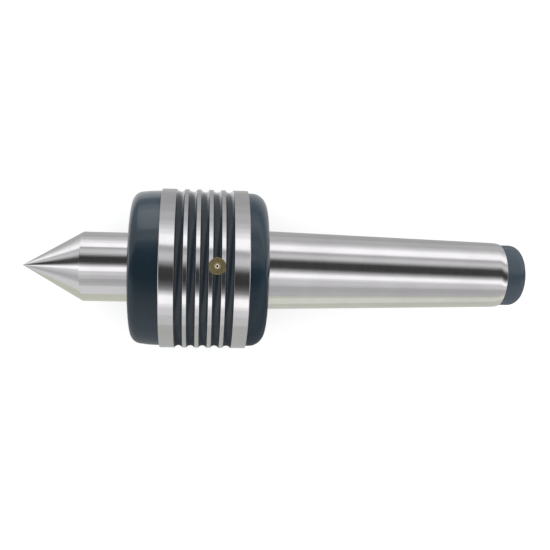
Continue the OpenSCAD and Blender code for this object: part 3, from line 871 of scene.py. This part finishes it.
stack = turned_piece(
    "disc_spring_stack", disc_stack(), "quill_body", "disc_springs",
    [SPRING_STEEL], SPRING_SEGMENTS)
shortens(stack)

coil = new_object("oiler_coil_spring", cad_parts["oiler_spring"].data.copy())
coil.data.materials.clear()
coil.data.materials.append(SPRING_STEEL)
coil.data.polygons.foreach_set("use_smooth", [True] * len(coil.data.polygons))
coil.data.set_sharp_from_angle(angle=WIRE_SHARP_ANGLE)
settle(coil, "oiler_ball_body", "oiler_spring")
shortens(coil)

# ---------------------------------------------------------------- camera

CAMERA_AIM = math.radians(2)
CAMERA_BACK = 310.0
CAMERA_X = -28.275
CAMERA_PAN = 0.0975
CAMERA_TILT = -0.0061
CAMERA_ROLL = 0.0215
CAMERA_LENS = 50.516


def make_camera():
    """Looks down on the oil port's side from CAMERA_AIM off the port's own direction."""
    th, ph, ro = CAMERA_PAN, CAMERA_TILT, CAMERA_ROLL
    ahead = Vector((math.sin(th) * math.cos(ph), math.cos(th) * math.cos(ph), math.sin(ph)))
    right = Vector((math.cos(th), -math.sin(th), 0))
    up = right.cross(ahead)
    right, up = (right * math.cos(ro) + up * math.sin(ro), up * math.cos(ro) - right * math.sin(ro))
    to_row = Matrix.Rotation(CAMERA_AIM - math.pi / 2, 3, "X")
    axes = Matrix([to_row @ right, to_row @ up, -(to_row @ ahead)]).transposed()
    place = to_row @ Vector((CAMERA_X, -CAMERA_BACK, 0)) * MM
    cam = new_object("camera", bpy.data.cameras.new("camera"))
    cam.data.sensor_width = 36
    cam.data.lens = CAMERA_LENS
    cam.data.clip_start = 0.01
    cam.matrix_world = Matrix.Translation(place) @ axes.to_4x4()
    bpy.context.scene.camera = cam


make_camera()

# ---------------------------------------------------------------- floor and light

FLOOR_GAP = 0.0001
FLOOR_Z = CAD_BOX[0].z - FLOOR_GAP
FLOOR_R = 6.0


def make_floor():
    """A pale disc under the part that shows in no reflection."""
    mesh = bpy.data.meshes.new("floor")
    build = bmesh.new()
    bmesh.ops.create_circle(build, cap_ends=True, segments=SMALL_SEGMENTS, radius=FLOOR_R)
    build.to_mesh(mesh)
    build.free()
    floor = new_object("floor", mesh)
    floor.location.z = FLOOR_Z
    floor.visible_glossy = False
    m = Nodes("pale_floor")
    m.colour(m.noise(scale=3), (0.88, 0.88, 0.88), (0.90, 0.90, 0.90))
    m.set(Roughness=0.9, Specular_IOR_Level=0.0)
    mesh.materials.append(m.mat)
    return floor


def receivers(name, objects):
    """A group of objects that a light shines on, and no others."""
    group = bpy.data.collections.new(name)
    for o in objects:
        group.objects.link(o)
    return group


NEUTRAL = (1.0, 1.0, 1.0)
SHANK_TINT = (1.0, 1.03, 0.90)
POINT_TINT = (1.0, 1.04, 0.87)
HEAD_TINT = (1.0, 1.03, 0.97)
LOW_FROM = 82               # strips from this angle on take the low tint
FAR = 6.0
ALL_ALONG = (-FAR, FAR)
CONE_SHIFT = -2.5           # degrees between the cone's bands and the cylinder's


def area_light(name, size, radiance, tint, group, place):
    """A soft panel that shines down its own -Z. size is in metres along its X and Y."""
    data = bpy.data.lights.new(name, "AREA")
    data.shape = "RECTANGLE"
    data.color = tint
    data.size, data.size_y = size
    data.energy = radiance * math.pi * data.size * data.size_y
    light = new_object(name, data)
    light.matrix_world = place
    light.visible_camera = False
    light.light_linking.receiver_collection = group
    return light


def strip_light(name, angle, width, radiance, group, reach=ALL_ALONG, tint=NEUTRAL, swing=0.0,
                pivot_x=0.0, distance=1.0):
    """A soft strip between two places on X, at an angle from straight up toward -Y.
    swing turns it about a vertical line at pivot_x. Angles are in degrees, lengths in metres."""
    size = (reach[1] - reach[0], 2 * distance * math.tan(math.radians(width) / 2))
    place = (Matrix.Translation((pivot_x, 0, 0)) @ Matrix.Rotation(math.radians(swing), 4, "Z")
             @ Matrix.Rotation(math.radians(angle), 4, "X")
             @ Matrix.Translation((sum(reach) / 2, 0, distance)))
    return area_light(name, size, radiance, tint, group, place)


def swung(angle, swing):
    """The angle at which a strip must stand before the swing to show at this one after it."""
    a = math.radians(angle)
    return math.degrees(math.atan2(math.cos(math.radians(swing)) * math.sin(a), math.cos(a)))


def on_cone(angle):
    """Where the 60 degree cone looks, from straight above, for a cylinder's angle."""
    side = math.radians(max(-180, min(180, angle + CONE_SHIFT))) / 2
    tilt = 2 * math.cos(HALF_ANGLE) ** 2
    up = tilt * math.cos(side) ** 2 - 1
    return math.degrees(math.atan2(tilt * math.sin(side) * math.cos(side), up))


def light_bands(name, bands, group, low_tint=NEUTRAL, reach=ALL_ALONG, swing=0.0, pivot_x=0.0,
                bend=None):
    """bands are (from angle, to angle, radiance). low_tint colours the ones from LOW_FROM on.
    bend is what an angle turns into on a surface that isn't parallel to X."""
    for i, (a, b, radiance) in enumerate(bands):
        a1, b1 = (bend(a), bend(b)) if bend else (swung(a, swing), swung(b, swing))
        tint = low_tint if a >= LOW_FROM else NEUTRAL
        strip_light(f"{name}_{i}", (a1 + b1) / 2, b1 - a1, radiance, group, reach, tint, swing,
                    pivot_x)


def ring_light(name, at_x, tilt, height, radiance, group, count=8, distance=1.0):
    """Panels in a ring about a vertical line, all tilted alike. Angles are in degrees."""
    low = math.radians(tilt)
    size = (2 * distance * math.sin(low) * math.tan(math.pi / count),
            2 * distance * math.tan(math.radians(height) / 2))
    for i in range(count):
        place = (Matrix.Translation((at_x, 0, 0)) @ Matrix.Rotation(TURN * i / count, 4, "Z")
                 @ Matrix.Rotation(low, 4, "X") @ Matrix.Translation((0, 0, distance)))
        area_light(f"{name}_{i}", size, radiance, NEUTRAL, group, place)


# Each band is (from angle, to angle, radiance), set to bring the tones across its surface
# close to the photograph's.
SHANK_BANDS = [
    (-180, -118, 0.42), (-118, -92, 0.50), (-92, -85, 0.62), (-85, -80, 0.78), (-80, -75, 0.95),
    (-75, -58, 1.17), (-58, -54, 0.75), (-54, -48, 0.44), (-48, -43, 0.56), (-43, -35, 0.66),
    (-35, -30, 0.48), (-30, -25, 0.18), (-25, -3, 0.016), (-3, 1, 0.10), (1, 6, 0.34),
    (6, 10, 0.62), (10, 13, 0.92), (13, 24, 1.20), (24, 30, 0.80), (30, 44, 0.65),
    (44, 50, 0.57), (50, 70, 0.45), (70, 84, 0.49), (84, 92, 0.57), (92, 118, 0.72),
    (118, 180, 0.565),
]
POINT_BANDS = [
    (-180, -112, 0.45), (-112, -98, 0.58), (-98, -92, 0.74), (-92, -82, 0.95), (-82, -65, 1.17),
    (-65, -58, 0.45), (-58, -54, 0.55), (-54, -41, 0.65), (-41, -35, 0.42), (-35, -30, 0.14),
    (-30, -11, 0.02), (-11, -6, 0.10), (-6, -2, 0.32), (-2, 3, 0.68), (3, 17, 1.18),
    (17, 30, 0.70), (30, 42, 0.57), (42, 58, 0.44), (58, 68, 0.50), (68, 104, 0.69),
    (104, 180, 0.56),
]
HEAD_BANDS = [
    (-180, -142, 0.45), (-142, -100, 0.39), (-100, -84, 0.42), (-84, -66, 0.48),
    (-66, -58, 0.58), (-58, -51, 0.72), (-51, -43, 0.92), (-43, -27, 1.20), (-27, -25, 0.80),
    (-25, -19, 0.38), (-19, -15, 0.50), (-15, -5, 0.63), (-5, -3, 0.50), (-3, 1, 0.30),
    (1, 4, 0.13), (4, 24, 0.01), (24, 30, 0.06), (30, 35, 0.17), (35, 38, 0.38),
    (38, 42, 0.72), (42, 55, 1.20), (55, 60, 0.92), (60, 72, 0.72), (72, 88, 0.59),
    (88, 180, 0.46),
]
GROOVE_BANDS = [
    (-180, -150, 2.6), (-150, -140, 1.7), (-140, -125, 0.85), (-125, -100, 0.60),
    (-100, -66, 0.72), (-66, -51, 1.30), (-51, -43, 1.05), (-43, -27, 0.75), (-27, -19, 0.26),
    (-19, 1, 0.10), (1, 24, 0.0), (24, 35, 0.05), (35, 42, 0.34), (42, 55, 0.95),
    (55, 72, 1.05), (72, 88, 0.85), (88, 120, 0.42), (120, 180, 0.10),
]
COVER_BANDS = [
    (-180, -150, 0.90), (-150, -122, 0.84), (-122, -104, 0.25), (-104, -57, 0.55),
    (-57, -47, 0.50), (-47, -37, 0.90), (-37, -27, 0.22), (-27, 27, 0.06), (27, 37, 0.17),
    (37, 47, 0.33), (47, 57, 0.40), (57, 98, 0.42), (98, 122, 0.34), (122, 180, 0.28),
]
COVER_SOFTBOX = [(-104, -92, 0.30), (-92, -79, 0.95), (-79, -55, 1.00)]
BACK_RING_BANDS = [
    (-180, -120, 0.60), (-120, -102, 0.42), (-102, -88, 0.32), (-88, -75, 0.68),
    (-75, -63, 0.98), (-63, -51, 0.78), (-51, -40, 0.38), (-40, -30, 0.84), (-30, -20, 0.50),
    (-20, -10, 0.78), (-10, 0, 0.28), (0, 24, 0.0), (24, 33, 0.14), (33, 62, 0.28),
    (62, 84, 0.32), (84, 104, 0.22), (104, 180, 0.10),
]
PLUG_BANDS = [
    (-180, -128, 0.31), (-128, -101, 0.61), (-101, -78, 0.89), (-78, -58, 1.00),
    (-58, -37, 0.92), (-37, -19, 0.90), (-19, -6, 0.78), (-6, 5, 0.46), (5, 19, 0.31),
    (19, 37, 0.46), (37, 58, 0.73), (58, 76, 0.78), (76, 101, 0.71), (101, 128, 0.50),
    (128, 180, 0.28),
]
CONE_FROM_X = -0.35
SOFTBOX_FROM_X = -0.4
SHANK_SWING = -28.0
SHANK_PIVOT_X = 0.22
HEAD_SWING = -42.0
OILER_RING_TILT = 62
OILER_RING_HEIGHT = 44
OILER_RING_RADIANCE = 1.42
FLOOR_LIGHT_WIDTH = 160
FLOOR_LIGHT_RADIANCE = 1.34
FLOOR_LIGHT_AWAY = 2.0

floor = make_floor()
point_lit = receivers("point_lit", [point])
cover_lit = receivers("cover_lit", [cover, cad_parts["felt_wiper"]])
head_lit = receivers("head_lit", [head])
groove_lit = receivers("groove_lit", [groove_paint])
oiler_lit = receivers("oiler_lit", [oiler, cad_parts["oiler_ball"]])
light_bands("shank_light", SHANK_BANDS, receivers("shank_lit", [shank]), SHANK_TINT,
            swing=SHANK_SWING, pivot_x=SHANK_PIVOT_X)
light_bands("point_light", POINT_BANDS, point_lit, POINT_TINT, (CONE_FROM_X, FAR))
light_bands("cone_light", POINT_BANDS, point_lit, POINT_TINT, (-FAR, CONE_FROM_X), bend=on_cone)
light_bands("head_light", HEAD_BANDS, head_lit, HEAD_TINT, swing=HEAD_SWING)
light_bands("groove_light", GROOVE_BANDS, groove_lit, swing=HEAD_SWING)
light_bands("cover_light", COVER_BANDS, cover_lit)
light_bands("cover_softbox", COVER_SOFTBOX, cover_lit, reach=(SOFTBOX_FROM_X, FAR))
light_bands("back_ring_light", BACK_RING_BANDS, receivers("back_ring_lit", [back_ring]))
light_bands("plug_light", PLUG_BANDS, receivers("plug_lit", [plug]))
ring_light("oiler_ring", PORT.x * MM, OILER_RING_TILT, OILER_RING_HEIGHT, OILER_RING_RADIANCE,
           oiler_lit)
floor_light = strip_light(
    "floor_light", 0, FLOOR_LIGHT_WIDTH, FLOOR_LIGHT_RADIANCE, receivers("floor_lit", [floor]),
    (-2 * FAR, 2 * FAR), distance=FLOOR_LIGHT_AWAY)
floor_light.light_linking.blocker_collection = receivers("floor_blockers", [floor])

# The camera sees white behind the part, and everything else a faint grey.
AMBIENT = 0.03
world = bpy.data.worlds.new("studio")
bpy.context.scene.world = world
world.use_nodes = True
background = world.node_tree.nodes["Background"]
background.inputs["Strength"].default_value = 1.0
path = world.node_tree.nodes.new("ShaderNodeLightPath")
shade = world.node_tree.nodes.new("ShaderNodeMix")
shade.data_type = "RGBA"
shade.inputs["A"].default_value = (AMBIENT, AMBIENT, AMBIENT, 1)
shade.inputs["B"].default_value = (1, 1, 1, 1)
world.node_tree.links.new(path.outputs["Is Camera Ray"], shade.inputs["Factor"])
world.node_tree.links.new(shade.outputs["Result"], background.inputs["Color"])

bpy.context.scene.view_settings.view_transform = "Standard"
